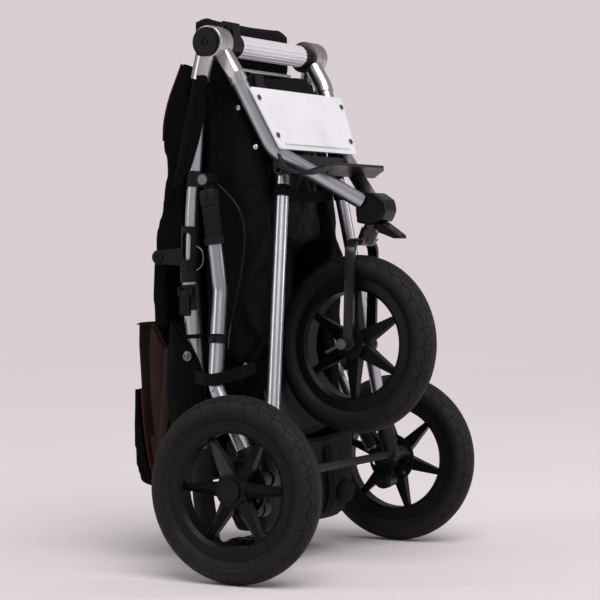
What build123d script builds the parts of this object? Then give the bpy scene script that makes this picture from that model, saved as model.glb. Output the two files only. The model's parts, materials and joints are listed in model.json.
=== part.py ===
"""Three-wheel pet stroller, folded, standing on its rear wheels and its handlebar.

Millimetres. +Z up, -Y is the side of the front wheel, +X is the pusher's left.
The origin is on the floor below the middle of the rear axle.
"""
import os

from build123d import *

# ---- driving dimensions -------------------------------------------------------------
WHEEL_R = 150.0          # outer radius of all three tyres
TYRE_HALF = 26.5         # half the width of a tyre
TRACK = 594.0            # between the middles of the rear tyres
AXLE_R = 6.0             # wheel axles
RUN_FIT = 0.05           # radial clearance of pins and axles in their holes

HUB = (114.0, 867.0)     # (y, z) of the fold hinge at the top
KNEE = (114.5, 642.0)    # (y, z) of the hinge between rear legs and handle tubes
LINK_FOOT = (-24.0, 163.0)   # (y, z) of the shaft that the lower links turn on
LINK_HEAD = (22.0, 659.0)    # (y, z) of the open pivot below the front tubes
CANOPY_PIN = (207.0, 515.0)  # (y, z) of the canopy's hinge

KNEE_X = 185.5           # middle of the knee hinges, to each side
HANDLE_X = 187.0         # handle tubes, to each side
TUBE_R = 11.0            # handle tubes and lower links
LEG_R = 12.5             # rear legs
LINK_HEAD_X = 100.0      # middle of the links' heads, to each side
FRONT_R = 13.0           # front tubes
SLEEVE_R = 14.0          # lower, wider handle tubes
BAR_R = 12.2             # handlebar, which slides in them
WALL = 1.4               # tube walls

STEER_POINT = (0.0, -100.0, 585.0)   # a point on the steering axis
STEER_UP = (0.0, -0.361, 0.9325)     # the steering axis, upwards
STEER_ANGLE = -6.45                  # how far the fork is turned, degrees
FRONT_WHEEL = (0.0, -69.0, 369.0)    # front wheel's middle before it is turned
SPOKES = 6

os.makedirs("parts", exist_ok=True)


# ---- helpers, used inside a BuildPart block ---------------------------------------------
def bar(start, end, radius, mode=Mode.ADD):
    """A straight round bar from start to end."""
    run = Vector(*end) - Vector(*start)
    with BuildSketch(Plane(origin=start, z_dir=run)) as disc:
        Circle(radius)
    extrude(disc.sketch, amount=run.length, mode=mode)


def bent_bar(points, bend, radius, mode=Mode.ADD):
    """A round bar through the points, with rounded bends."""
    with BuildLine() as route:
        FilletPolyline(*points, radius=bend)
    with BuildSketch(Plane(origin=route.line @ 0, z_dir=route.line % 0)) as disc:
        Circle(radius)
    sweep(disc.sketch, path=route.line, mode=mode)


def across(y, z, radius, x_from, x_to, mode=Mode.ADD):
    """A round bar along X."""
    bar((x_from, y, z), (x_to, y, z), radius, mode)


def slab(outline, x_from, x_to, mode=Mode.ADD):
    """A flat plate: a (y, z) outline, from x_from to x_to."""
    with BuildSketch(Plane.YZ.offset(min(x_from, x_to))) as face:
        Polygon(*outline, align=None)
    extrude(face.sketch, amount=abs(x_to - x_from), mode=mode)


def save(piece, name):
    piece.label = name
    export_step(piece, f"parts/{name}.step")


SIDES = (("right", -1), ("left", 1))


# ---- routes of the tubes ------------------------------------------------------------------
def leg_route(side):
    return [(side * 185.7, 109.5, 600), (side * 188, 90, 461), (side * 222, 80, 308), (side * 222, 9, 172)]


def leg_top(side):
    """The upper end of a leg's tube and the direction that the tube leaves it."""
    top, bend = [Vector(*point) for point in leg_route(side)[:2]]
    return top, (bend - top).normalized()


def leg_point(side, z):
    """A point on the lower run of a rear leg."""
    (x, y0, z0), (_, y1, z1) = leg_route(side)[2:]
    return (x, y0 + (y1 - y0) * (z - z0) / (z1 - z0), z)


def handle_route(side):
    x = side * HANDLE_X
    return [(x, 128, 815), (x, 136, 691), (x, 144, 590), (x, 148, 492)]


def sleeve_point(side, z):
    """A point on the axis of a lower handle tube, which the handlebar slides along."""
    return (side * HANDLE_X, 148 - 0.0675 * (492 - z), z)


def front_route(side):
    return [(side * 158.25, 80, 818), (side * 128, 23, 690), (side * 21, -84, 608)]


def link_route(side):
    return [(side * 212, -18, 203), (side * 100, 21, 650)]


# ---- wheels -----------------------------------------------------------------------------------
def tyre():
    """A tyre about the X axis, open towards the rim."""
    with BuildPart() as part:
        with BuildSketch(Plane.XY) as section:
            with BuildLine():
                outside = ThreePointArc((14.8, 111), (23.6, 117), (TYRE_HALF, 129))
                crown = ThreePointArc(outside @ 1, (19.6, 143.6), (0, WHEEL_R))
                inside = ThreePointArc((10.4, 113), (19, 120), (21.8, 130))
                vault = ThreePointArc(inside @ 1, (15.6, 140), (0, 144.8))
                Line(crown @ 1, vault @ 1)
                Polyline(inside @ 0, (10.4, 101), (14.8, 101), outside @ 0)
            make_face()
            mirror(about=Plane.YZ)
        revolve(axis=Axis.X)
    return part.part


def spoke():
    """One spoke along Z: deep and wide at the hub, with a ridge on its outer side."""
    with BuildPart() as part:
        with BuildSketch(Plane.XY.offset(20)):
            Polygon((-15, -13), (4, -13), (16, 0), (4, 13), (-15, 13), align=None)
        with BuildSketch(Plane.XY.offset(91.5)):
            Polygon((-8, -4.5), (3, -4.5), (7, 0), (3, 4.5), (-8, 4.5), align=None)
        loft()
    return part.part


def rim(braked):
    """A moulded rim about the X axis: channel, hub barrel, ridged spokes and the slotted brake flange."""
    channel = [(-18, 111.5), (-18, 96), (-13, 90), (13, 90), (18, 96), (18, 111.5),
               (15, 111.5), (15, 99.5), (-15, 99.5), (-15, 111.5)]
    blade = spoke()
    with BuildPart() as part:
        with BuildSketch(Plane.XY):
            Polygon(*channel, align=None)
        revolve(axis=Axis.X)
        across(0, 0, 26, -24, 17)
        across(0, 0, 18, -21, 21)
        for k in range(SPOKES):
            add(blade, rotation=(k * 360 / SPOKES, 0, 0))
        if braked:
            across(0, 0, 44, -24, -20.5)
            with BuildSketch(Plane.YZ.offset(-25)) as slots:
                with PolarLocations(36, 12):
                    Circle(4)
            extrude(slots.sketch, amount=6, mode=Mode.SUBTRACT)
        across(0, 0, AXLE_R + RUN_FIT, -30, 19.5 if braked else 30, mode=Mode.SUBTRACT)
    return part.part


def rear_wheel(name, side):
    turn = 30 if side < 0 else -15
    place = Location((side * TRACK / 2, 0, WHEEL_R), (turn, 0, 0))
    outwards = Location((0, 0, 0), (0, 0, 0 if side > 0 else 180))
    save(tyre().moved(place), f"rear_tyre_{name}")
    save(rim(True).moved(place * outwards), f"rear_rim_{name}")


# ---- rear frame ------------------------------------------------------------------------------
def rear_leg(name, side):
    with BuildPart() as leg:
        bent_bar(leg_route(side), 60, LEG_R)
        bent_bar(leg_route(side), 60, LEG_R - WALL, mode=Mode.SUBTRACT)
    save(leg.part, f"rear_leg_{name}")


def leg_knuckles():
    """The eyes on the legs' upper ends, which turn between the ears of the pivot clamps."""
    with BuildPart() as knuckles:
        for _, side in SIDES:
            x = side * KNEE_X
            top, down = leg_top(side)
            across(*KNEE, 11, x - 9, x + 9)
            bar((x, *KNEE), top - down * 4, 9)
            bar(top - down * 17, top, 15.5)
            across(112, 612, 4, x, x + side * 17.5)
            across(*KNEE, 4 + RUN_FIT, x - 20, x + 20, mode=Mode.SUBTRACT)
    save(knuckles.part, "leg_knuckles")


def leg_boots():
    """The rubber sleeves below the knuckles, each with a thick ring at its foot."""
    with BuildPart() as boots:
        for _, side in SIDES:
            top, down = leg_top(side)
            bar(top, top + down * 52, 15)
            bar(top + down * 52, top + down * 65, 17)
            bar(top - down * 5, top + down * 70, LEG_R, mode=Mode.SUBTRACT)
    save(boots.part, "leg_boots")


def leg_bands():
    """The clamp rings on the legs' sloping runs, each with a screw."""
    with BuildPart() as bands:
        for _, side in SIDES:
            knee, shin = [Vector(*point) for point in leg_route(side)[1:3]]
            slope = (shin - knee).normalized()
            start = knee + slope * 78
            bar(start, start + slope * 11, 15)
            bar(start + slope * 5.5, start + slope * 5.5 + Vector(side * 21, 0, 4), 4)
            bar(start - slope * 5, start + slope * 20, LEG_R, mode=Mode.SUBTRACT)
    save(bands.part, "leg_bands")


def axle_carrier(name, side):
    """The casting that joins the leg's foot, the axle stub and the link shaft."""
    web = [(-33, 158), (-12, 133), (14, 134), (33, 168), (34, 196), (14, 196), (-14, 176)]
    with BuildPart() as carrier:
        bar(leg_point(side, 206), leg_point(side, 174), 15.5)
        slab([(4, 174), (32, 168), (34, 196), (12, 196)], side * 222, side * 250)
        slab(web, side * 243, side * 259)
        across(0, WHEEL_R, 19, side * 243, side * 268)
        across(*LINK_FOOT, 12, side * 243, side * 270)
        bar(leg_point(side, 215), leg_point(side, 171), LEG_R, mode=Mode.SUBTRACT)
        across(*LINK_FOOT, 7, side * 230, side * 275, mode=Mode.SUBTRACT)
        across(0, WHEEL_R, AXLE_R, side * 230, side * 275, mode=Mode.SUBTRACT)
    save(carrier.part, f"axle_carrier_{name}")


def axle_stubs():
    with BuildPart() as stubs:
        for _, side in SIDES:
            across(0, WHEEL_R, AXLE_R, side * 243, side * (TRACK / 2 + 19))
            across(0, WHEEL_R, 10, side * 268, side * 272.5)
    save(stubs.part, "axle_stubs")


def suspensions():
    """The short dampers below the carriers."""
    with BuildPart() as dampers:
        for _, side in SIDES:
            across(-8, 114, 12, side * 214, side * 257)
            across(-8, 114, 14, side * 222, side * 238)
            across(-8, 114, 5, side * 205, side * 214)
            slab([(-15, 120), (0, 120), (4, 133), (-12.2, 133)], side * 245, side * 257)
    save(dampers.part, "suspensions")


def link_shaft():
    with BuildPart() as shaft:
        across(*LINK_FOOT, 7, -270, 270)
        across(*LINK_FOOT, 5.4, -270, 270, mode=Mode.SUBTRACT)
    save(shaft.part, "link_shaft")


def basket():
    """The goods basket between the carriers: a cloth tub, open at the top."""
    outer = [(14, 84), (26, 60), (92, 60), (104, 84), (106, 214), (14, 214)]
    inner = [(18, 85), (29, 64), (89, 64), (100, 85), (102, 230), (18, 230)]
    with BuildPart() as tub:
        slab(outer, -165, 165)
        slab(inner, -161, 161, mode=Mode.SUBTRACT)
    save(tub.part, "basket")


# ---- handle frame ----------------------------------------------------------------------------------
def handle_side(name, side):
    x = side * HANDLE_X
    top = handle_route(side)[0]
    with BuildPart() as hub:
        across(*HUB, 27.5, side * 172, side * 191)
        rims = hub.edges().filter_by(GeomType.CIRCLE).sort_by(Axis.X)
        fillet(rims[-1] if side > 0 else rims[0], 2.5)
        bar((side * 181.4, *HUB), (side * 181.4, 127, 826), 9.4)
        bar((x, 120, 842.3), (x, 128.6, 806), 15.5)
        with Locations((x, 120, 842.3)):
            Sphere(15.5)
        across(*HUB, 24.5, side * 191, side * 205, mode=Mode.SUBTRACT)
        split(bisect_by=Plane.YZ.offset(side * 171.6), keep=Keep.TOP if side > 0 else Keep.BOTTOM)
        bar((x, 128, 815), (x, 136, 691), TUBE_R, mode=Mode.SUBTRACT)
        across(*HUB, 12, side * 160, side * 183, mode=Mode.SUBTRACT)
    save(hub.part, f"handle_hub_{name}")

    with BuildPart() as tube:
        bent_bar(handle_route(side), 90, TUBE_R)
        bent_bar(handle_route(side), 90, TUBE_R - WALL, mode=Mode.SUBTRACT)
    save(tube.part, f"handle_tube_{name}")

    with BuildPart() as sleeve:
        bar(sleeve_point(side, 492), sleeve_point(side, 204), SLEEVE_R)
        bar(sleeve_point(side, 492), sleeve_point(side, 204), BAR_R + 0.1, mode=Mode.SUBTRACT)
    save(sleeve.part, f"handle_sleeve_{name}")


def hub_caps():
    with BuildPart() as caps:
        for _, side in SIDES:
            across(*HUB, 24.5, side * 191, side * 194)
            across(*HUB, 22.5, side * 194, side * 195.5)
            across(*HUB, 7, side * 193.5, side * 197, mode=Mode.SUBTRACT)
            across(*HUB, 4, side * 193, side * 195)
    save(caps.part, "hub_caps")


def handle_at(side, z):
    """A point on the handle tube between its bends, where the clamp and collar sit."""
    (x, y0, z0), (_, y1, z1) = handle_route(side)[1:3]
    return (x, y0 + (y1 - y0) * (z - z0) / (z1 - z0), z)


def pivot_clamps():
    """The clamps on the handle tubes, each with two ears that hold a leg's knuckle."""
    with BuildPart() as clamps:
        for _, side in SIDES:
            x = side * KNEE_X
            bar(handle_at(side, 657), handle_at(side, 631), 13.5)
            for ear in (x - 13, x + 9.5):
                across(*KNEE, 11, ear, ear + 3.5)
                slab([(KNEE[0], 631), (140, 631), (140, 656), (KNEE[0], 653)], ear, ear + 3.5)
            bar(handle_at(side, 670), handle_at(side, 620), TUBE_R, mode=Mode.SUBTRACT)
            across(*KNEE, 11.6, x - 9.5, x + 9.5, mode=Mode.SUBTRACT)
            across(*KNEE, 4, x - 20, x + 20, mode=Mode.SUBTRACT)
    save(clamps.part, "pivot_clamps")


def pivot_bolts():
    """The two bolts of the knee hinge, each with a round head and a nut."""
    with BuildPart() as bolts:
        for _, side in SIDES:
            x = side * KNEE_X
            across(*KNEE, 4, x - 17, x + 17)
            across(*KNEE, 8.5, x + side * 13, x + side * 19)
            across(*KNEE, 7, x - side * 13, x - side * 17)
    save(bolts.part, "pivot_bolts")


def lock_collars():
    """The moulded collars where upper tubes meet sleeves, each with an oval window and the canopy's ear."""
    with BuildPart() as collars:
        for _, side in SIDES:
            x = side * HANDLE_X
            bar((x, 145.2, 566), (x, 148, 492), 16.5)
            bar((x, 148, 492), sleeve_point(side, 474), 17)
            slab([(150, 500), (150, 532), (CANOPY_PIN[0], 526), (CANOPY_PIN[0], 504)], x - 4, x + 4)
            across(*CANOPY_PIN, 12, x - 4, x + 4)
            across(*CANOPY_PIN, 4 + RUN_FIT, x - 10, x + 10, mode=Mode.SUBTRACT)
            with BuildSketch(Plane.YZ.offset(side * 206)) as window:
                with Locations((146, 533)):
                    SlotOverall(46, 15, rotation=90)
            extrude(window.sketch, amount=-side * 9, mode=Mode.SUBTRACT)
            bent_bar(handle_route(side), 90, TUBE_R, mode=Mode.SUBTRACT)
            bar((x, 148, 492), sleeve_point(side, 460), SLEEVE_R, mode=Mode.SUBTRACT)
    save(collars.part, "lock_collars")


def clip_mounts():
    """The brackets on the sleeves that carry the handlebar's clip levers."""
    with BuildPart() as brackets:
        for _, side in SIDES:
            bar(sleeve_point(side, 470), sleeve_point(side, 428), 16.5)
            for y in (134, 157):
                with BuildSketch(Plane.XY.offset(452)) as ear:
                    with Locations((side * 204, y)):
                        Rectangle(10, 4)
                extrude(ear.sketch, amount=14)
            bar(sleeve_point(side, 480), sleeve_point(side, 420), SLEEVE_R, mode=Mode.SUBTRACT)
            with Locations((side * 170, 146, 450)):
                Box(50, 60, 80, mode=Mode.SUBTRACT)
            bar((side * 205, 120, 459), (side * 205, 170, 459), 2, mode=Mode.SUBTRACT)
            bar((side * 205, 136, 459), (side * 205, 155, 459), 4.2, mode=Mode.SUBTRACT)
    save(brackets.part, "clip_mounts")


def clip_lever(name, side):
    """The lever that clamps the handlebar; it turns about a pin along Y."""
    profile = [(3, 3.2), (6, -2), (5, -38), (1.5, -40), (0.5, -9), (-0.6, -4), (-0.6, 3.2)]
    with BuildPart() as lever:
        with BuildSketch(Plane.XZ.offset(-154.5)) as face:
            Polygon(*[(side * (204.5 + dx), 459 + dz) for dx, dz in profile], align=None)
        extrude(face.sketch, amount=18)
        fillet(lever.edges().filter_by(Axis.X, tolerance=15).group_by(Axis.Z)[0], 5)
        bar((side * 205, 131, 459), (side * 205, 160, 459), 1.9)
    save(lever.part, f"clip_lever_{name}")


def crossbar():
    with BuildPart() as core:
        across(*HUB, 12, -183, 183)
        across(*HUB, 10.2, -183, 183, mode=Mode.SUBTRACT)
    save(core.part, "crossbar_core")

    with BuildPart() as collars:
        for x_from, x_to in ((-148, -137), (129.5, 148)):
            across(*HUB, 19, x_from, x_to)
            across(*HUB, 12, x_from, x_to, mode=Mode.SUBTRACT)
    save(collars.part, "crossbar_collars")

    flutes = 18
    with BuildPart() as grip:
        across(*HUB, 19, -101, 128)
        with BuildSketch(Plane.YZ.offset(-101)) as grooves:
            with Locations(HUB):
                with PolarLocations(20, flutes):
                    Circle(2.2)
        extrude(grooves.sketch, amount=229, mode=Mode.SUBTRACT)
        across(*HUB, 13, -101, 128, mode=Mode.SUBTRACT)
    save(grip.part, "fold_grip")

    with BuildPart() as latch:
        across(*HUB, 20.5, -136, -101)
        slab([(96, 872), (100, 903), (118, 907), (130, 893), (118, 880)], -131, -106)
        across(*HUB, 13, -136, -101, mode=Mode.SUBTRACT)
        across(112, 894, 4, -140, -100, mode=Mode.SUBTRACT)
    save(latch.part, "fold_latch")


def side_plates():
    """The three-cornered plates beside the sleeves that the seat's cloth is bolted to."""
    with BuildPart() as plates:
        for _, side in SIDES:
            slab([(100, 322), (148, 312), (152, 392), (136, 396)], side * 169, side * 172.5)
            across(114, 338, 7, side * 166.5, side * 175)
    save(plates.part, "side_plates")


# ---- soft goods ----------------------------------------------------------------------------------------
def seat_pack():
    """The folded cabin: cloth and padding between the handle tubes, hollow for the front wheel."""
    front = [(96, 222), (152, 222), (158, 400), (158, 834), (104, 834), (92, 800), (48, 700), (46, 540), (96, 528)]
    cheek = [(24, 246), (96, 226), (96, 560), (46, 560), (34, 520), (24, 420)]
    base = [(150, 164), (203, 128), (203, 470), (150, 490)]
    with BuildPart() as pack:
        slab(front, -138, 138)
        for _, side in SIDES:
            slab(cheek, side * 92, side * 143)
        slab(base, -156, 156)
    save(pack.part, "seat_pack")


def seat_panel():
    """The padded back panel that stands up behind the crossbar."""
    with BuildPart() as panel:
        with BuildSketch(Plane.XZ.offset(-158)) as face:
            with Locations((0, 877)):
                Rectangle(316, 76)
            fillet(face.vertices().group_by(Axis.Y)[-1], 22)
        extrude(amount=14)
    save(panel.part, "seat_panel")


def canopy():
    """The folded canopy, hung on the ears of the lock collars."""
    profile = [(172, 528), (226, 500), (229, 560), (214, 690), (206, 760), (190, 815), (168, 842), (163, 800)]
    with BuildPart() as hood:
        slab(profile, -168, 168)
        for _, side in SIDES:
            slab([(198, 504), (222, 504), (222, 560), (198, 560)], side * 160, side * 168)
            across(*CANOPY_PIN, 12, side * 160, side * 182.5)
            across(*CANOPY_PIN, 4, side * 160, side * 194)
            across(*CANOPY_PIN, 9, side * 191.5, side * 195)
    save(hood.part, "canopy")


def storage_pouch():
    """The pouch that hangs behind the folded seat, open at the top."""
    outer = [(204, 124), (252, 118), (268, 200), (270, 402), (232, 402), (206, 360)]
    inner = [(208, 128), (248, 122), (264, 200), (266, 420), (234, 420), (210, 360)]
    with BuildPart() as pouch:
        slab(outer, -158, 158)
        slab(inner, -154, 154, mode=Mode.SUBTRACT)
    save(pouch.part, "storage_pouch")


# ---- front frame ----------------------------------------------------------------------------------------
def front_side(name, side):
    with BuildPart() as hub:
        across(*HUB, 27.5, side * 150, side * 171)
        bar((side * 160, 100, 850), (side * 157.8, 79.2, 816), 15)
        with Locations((side * 157.8, 79.2, 816)):
            Sphere(15)
        bar((side * 157.8, 79.2, 816), (side * 154.4, 72.9, 802), 15)
        bar(*front_route(side)[:2], FRONT_R, mode=Mode.SUBTRACT)
        across(*HUB, 12 + RUN_FIT, side * 140, side * 180, mode=Mode.SUBTRACT)
        split(bisect_by=Plane.YZ.offset(side * 171.3), keep=Keep.BOTTOM if side > 0 else Keep.TOP)
    save(hub.part, f"front_hub_{name}")

    with BuildPart() as tube:
        bent_bar(front_route(side), 45, FRONT_R)
        bent_bar(front_route(side), 45, FRONT_R - WALL, mode=Mode.SUBTRACT)
    save(tube.part, f"front_tube_{name}")


def badge_plate():
    """The plain aluminium plate across the front tubes, with a pressed rib near its foot."""
    face = Plane(origin=(0, 28.1, 742.1), x_dir=(1, 0, 0), z_dir=(0, -0.918, 0.396))
    with BuildPart() as plate:
        with BuildSketch(face) as sheet:
            Polygon((-139, -55), (139, -55), (165, 55), (-165, 55), align=None)
            fillet(sheet.vertices(), 6)
        extrude(amount=3)
        with BuildSketch(face.offset(3)):
            with Locations((0, -43)):
                SlotOverall(236, 6)
        extrude(amount=2)
        for _, side in SIDES:
            bent_bar(front_route(side), 45, FRONT_R + RUN_FIT, mode=Mode.SUBTRACT)
    save(plate.part, "badge_plate")

    with BuildPart() as screws:
        for _, side in SIDES:
            for spot in ((side * 149, 36), (side * 133, -31)):
                with BuildSketch(face.offset(3)) as head:
                    with Locations(spot):
                        Circle(4.6)
                extrude(head.sketch, amount=2.4)
                with BuildSketch(face.offset(5.4)) as drive:
                    with Locations(spot):
                        RegularPolygon(2, 6)
                extrude(drive.sketch, amount=-1.2, mode=Mode.SUBTRACT)
    save(screws.part, "plate_screws")


def mudguard():
    """The moulded peak below the plate, swept forwards over the front wheel."""
    with BuildPart() as peak:
        with BuildSketch(Plane.YZ):
            with BuildLine():
                outer = Spline((8, 685), (-1, 665), (-24, 655), (-72, 670.5), tangents=((-0.3, -1), (-1, 0.35)))
                inner = Spline((11, 684), (2, 661), (-24, 651), (-72, 666), tangents=((-0.3, -1), (-1, 0.35)))
                Line(outer @ 0, inner @ 0)
                Line(outer @ 1, inner @ 1)
            make_face()
        extrude(amount=139, both=True)
        with BuildSketch(Plane.XY.offset(640)) as trim:
            Polygon((-139, 12), (139, 12), (136, -30), (112, -62), (90, -72),
                    (-90, -72), (-112, -62), (-136, -30), align=None)
            fillet(trim.vertices().group_by(Axis.Y)[0], 14)
        extrude(trim.sketch, amount=60, mode=Mode.INTERSECT)
        for _, side in SIDES:
            bar(front_route(side)[1], front_route(side)[2], FRONT_R + 1, mode=Mode.SUBTRACT)
            bar((side * 134, 31, 715), front_route(side)[1], FRONT_R + 1, mode=Mode.SUBTRACT)
    save(peak.part, "mudguard")


def link_brackets():
    """Two ears below each front tube that a lower link's head folds between."""
    with BuildPart() as ears:
        for _, side in SIDES:
            x = side * LINK_HEAD_X
            for near in (-15, 12):
                across(*LINK_HEAD, 8, x + near, x + near + 3)
                slab([(14, 659), (30, 659), (33, 694), (14, 694)], x + near, x + near + 3)
            slab([(20, 684), (33, 684), (33, 694), (20, 694)], x - 15, x + 15)
            slab([(17, 682), (31, 682), (31, 700), (17, 700)], x + side * 12, x + side * 24)
            bent_bar(front_route(side), 45, FRONT_R, mode=Mode.SUBTRACT)
            across(*LINK_HEAD, 4, x - 20, x + 20, mode=Mode.SUBTRACT)
    save(ears.part, "link_brackets")


def steering_housing():
    body = [(-70, 621), (-116, 615), (-127, 600), (-122, 577), (-78, 572)]
    cheek = [(-100, 580), (-122, 590), (-122, 564), (-106, 562)]
    with BuildPart() as housing:
        slab(body, -22, 22)
        fillet(housing.edges().filter_by(Axis.X).sort_by(Axis.Y)[:3], 6)
        fillet(housing.faces().sort_by(Axis.X)[0].edges(), 3)
        fillet(housing.faces().sort_by(Axis.X)[-1].edges(), 3)
        for x in (-18, 14):
            slab(cheek, x, x + 4)
        across(-114, 568, 2.5, -20, 20, mode=Mode.SUBTRACT)
        for _, side in SIDES:
            bar(front_route(side)[1], front_route(side)[2], FRONT_R, mode=Mode.SUBTRACT)
        bar(steer_at(-60), steer_at(22), 12 + RUN_FIT, mode=Mode.SUBTRACT)
    save(housing.part, "steering_housing")


def steer_at(distance):
    """A point on the steering axis, so far above STEER_POINT."""
    return Vector(*STEER_POINT) + Vector(*STEER_UP) * distance


def swivel_lever():
    with BuildPart() as lever:
        slab([(-109, 573), (-121, 574), (-134, 553), (-130, 548), (-110, 560)], -13.5, 13.5)
        across(-114, 568, 2.4, -18, 18)
    save(lever.part, "swivel_lever")


def fork():
    steering = Axis(STEER_POINT, STEER_UP)
    with BuildPart() as yoke:
        with BuildSketch(Plane.XZ.offset(66)) as bow:
            with Locations((0, 453)):
                RectangleRounded(78, 186, 24)
            with Locations((0, 448)):
                RectangleRounded(66, 184, 20, mode=Mode.SUBTRACT)
        extrude(bow.sketch, amount=18)
        with BuildSketch(Plane.XZ.offset(60)) as below:
            with Locations((0, 350)):
                Rectangle(90, 36)
        extrude(below.sketch, amount=30, mode=Mode.SUBTRACT)
        for x in (-39, 33):
            across(-75, 369, 11, x, x + 6)
        bar(steer_at(20), steer_at(-49), 12)
        bar(steer_at(-26), steer_at(-47), 15)
        slab([(-66, 534), (-84, 534), (-96, 546), (-74, 546)], -20, 20)
        across(FRONT_WHEEL[1], FRONT_WHEEL[2], AXLE_R, -45, 45, mode=Mode.SUBTRACT)
    save(yoke.part.rotate(steering, STEER_ANGLE), "fork")

    with BuildPart() as axle:
        across(FRONT_WHEEL[1], FRONT_WHEEL[2], AXLE_R, -44, 44)
        for _, side in SIDES:
            across(FRONT_WHEEL[1], FRONT_WHEEL[2], 9, side * 39.1, side * 50)
            across(FRONT_WHEEL[1], FRONT_WHEEL[2], 9, side * 24.6, side * 32.9)
        bar((-47, FRONT_WHEEL[1], FRONT_WHEEL[2]), (-49, FRONT_WHEEL[1] + 30, FRONT_WHEEL[2] - 14), 3)
    save(axle.part.rotate(steering, STEER_ANGLE), "front_axle")

    place = Location(FRONT_WHEEL)
    save(tyre().moved(place).rotate(steering, STEER_ANGLE), "front_tyre")
    save(rim(False).moved(place).rotate(steering, STEER_ANGLE), "front_rim")


# ---- lower links ------------------------------------------------------------------------------------------
def lower_link(name, side):
    foot, head = link_route(side)
    with BuildPart() as tube:
        bar(foot, head, TUBE_R)
        bar(foot, head, TUBE_R - WALL, mode=Mode.SUBTRACT)
    save(tube.part, f"lower_link_{name}")

    along = (Vector(*head) - Vector(*foot)).normalized()
    x = side * 224
    tip = side * LINK_HEAD_X
    with BuildPart() as ends:
        across(*LINK_FOOT, 14, x - 13, x + 13)
        bar((x - side * 2, *LINK_FOOT), (x - side * 8, -20, 190), 14)
        bar((x - side * 8, -20, 190), foot, 14)
        bar(foot, Vector(*foot) + along * 26, 14)
        across(*LINK_HEAD, 9.5, tip - 11, tip + 11)
        bar(foot, head, TUBE_R, mode=Mode.SUBTRACT)
        across(*LINK_FOOT, 7 + RUN_FIT, x - 40, x + 40, mode=Mode.SUBTRACT)
        bar(Vector(*head) - along * 30, head, TUBE_R - WALL)
        bar(Vector(*head) + along * 2, (tip, *LINK_HEAD), 9.5)
        bar(head, Vector(*head) + along * 2, TUBE_R)
        across(*LINK_HEAD, 4, tip - 20, tip + 20, mode=Mode.SUBTRACT)
    save(ends.part, f"link_ends_{name}")


# ---- handlebar ---------------------------------------------------------------------------------------------
def handlebar():
    """Two arms that slide in the sleeves, bend inwards and meet in a cross grip on the floor."""
    with BuildPart() as arms:
        for _, side in SIDES:
            bar(sleeve_point(side, 330), sleeve_point(side, 196), BAR_R)
            bar(sleeve_point(side, 330), sleeve_point(side, 196), BAR_R - WALL, mode=Mode.SUBTRACT)
    save(arms.part, "handlebar_arms")

    low_x = 118
    route = [sleeve_point(-1, 200), sleeve_point(-1, 120), (-150, 132, 40), (-low_x, 134, 17.5), (low_x, 134, 17.5),
             (150, 132, 40), sleeve_point(1, 120), sleeve_point(1, 200)]
    with BuildPart() as grip:
        bent_bar(route, 22, 17.5)
        for _, side in SIDES:
            bar(sleeve_point(side, 210), sleeve_point(side, 196), BAR_R, mode=Mode.SUBTRACT)
    save(grip.part, "handlebar_grip")

    with BuildPart() as mount:
        across(134, 17.5, 20, -64, -44)
        slab([(98, 24), (122, 24), (122, 36), (98, 36)], -58, -50)
        across(134, 17.5, 17.5, -70, -40, mode=Mode.SUBTRACT)
        bar((-54, 103, 10), (-54, 103, 50), 2.5, mode=Mode.SUBTRACT)
        with BuildSketch(Plane.XY.offset(4)) as mouth:
            with Locations((-54, 134)):
                Rectangle(40, 60)
        extrude(mouth.sketch, amount=-20, mode=Mode.SUBTRACT)
    save(mount.part, "brake_mount")


def brake_lever():
    with BuildPart() as lever:
        for z in (19, 37):
            with BuildSketch(Plane.XY.offset(z)) as plate:
                Polygon((-60, 97), (-48, 97), (-46, 108), (-58, 110), align=None)
            extrude(plate.sketch, amount=4 if z > 30 else 3.5)
        with BuildSketch(Plane.XY.offset(19)) as blade:
            Polygon((-60, 97), (-48, 97), (10, 84), (62, 92), (62, 97), (10, 91), (-47, 101), (-60, 101), align=None)
        extrude(blade.sketch, amount=22)
        with BuildSketch(Plane.XY.offset(22.5)) as slot:
            with Locations((-54, 103)):
                Rectangle(30, 19.9)
        extrude(slot.sketch, amount=14.5, mode=Mode.SUBTRACT)
        bar((-54, 103, 19), (-54, 103, 41), 2.4)
    save(lever.part, "brake_lever")


# ---- brake cable ------------------------------------------------------------------------------------------------
def brake_cable():
    """The cable that hangs in a bow beside the seat and runs down the right leg to the carrier."""
    points = [(-168.5, 106, 634), (-168.5, 84, 616), (-168.5, 62, 592), (-168.5, 54, 548), (-168.5, 60, 496),
              (-169, 72, 446), (-173, 78, 408), (-186, 76, 384), (-193, 73, 366)]
    with BuildPart() as cable:
        bent_bar(points, 26, 2.4)
    save(cable.part, "brake_cable")


def main():
    leg_knuckles()
    leg_boots()
    leg_bands()
    axle_stubs()
    suspensions()
    link_shaft()
    basket()
    hub_caps()
    pivot_clamps()
    pivot_bolts()
    lock_collars()
    clip_mounts()
    side_plates()
    crossbar()
    seat_pack()
    seat_panel()
    canopy()
    storage_pouch()
    badge_plate()
    mudguard()
    link_brackets()
    steering_housing()
    swivel_lever()
    fork()
    handlebar()
    brake_lever()
    brake_cable()
    for name, side in SIDES:
        rear_wheel(name, side)
        rear_leg(name, side)
        axle_carrier(name, side)
        handle_side(name, side)
        clip_lever(name, side)
        front_side(name, side)
        lower_link(name, side)


main()
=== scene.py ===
"""Looks of a folded three-wheel pet stroller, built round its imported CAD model. Metres."""
import json
import math

import bmesh
import bpy
import numpy as np
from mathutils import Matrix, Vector, noise
from mathutils.bvhtree import BVHTree


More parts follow.
